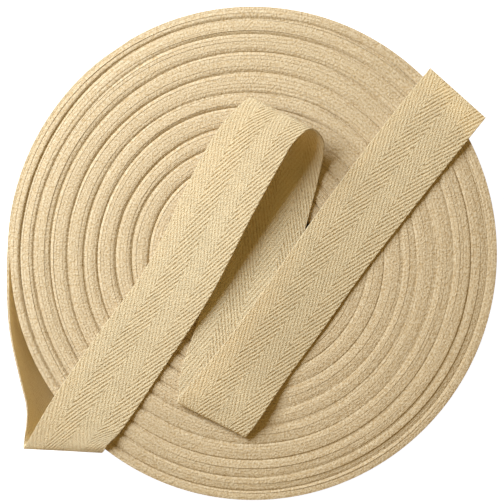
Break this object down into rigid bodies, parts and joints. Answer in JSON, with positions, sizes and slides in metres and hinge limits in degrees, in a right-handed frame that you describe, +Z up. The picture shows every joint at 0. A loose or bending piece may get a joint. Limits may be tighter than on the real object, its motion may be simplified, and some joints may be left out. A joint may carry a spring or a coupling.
{
  "type": "cotton webbing roll",
  "caption": "Roll of narrow herringbone cotton tape wound flat on itself with an open middle, its loose end looped over the top.",
  "frame": {"origin": "on the surface that the roll lies on, below the middle of the winding", "axes": "+Z up out of the roll's flat side, +X towards the side past which the cut end reaches, +Y towards the loop in the loose end"},
  "size_m": [0.1667, 0.1659, 0.0403],
  "materials": {
    "cotton_twill": "matt woven herringbone twill, unbleached cotton"
  },
  "bodies": {
    "root": {"wound_tape": "cotton_twill", "loose_end": "cotton_twill"}
  },
  "joints": []
}
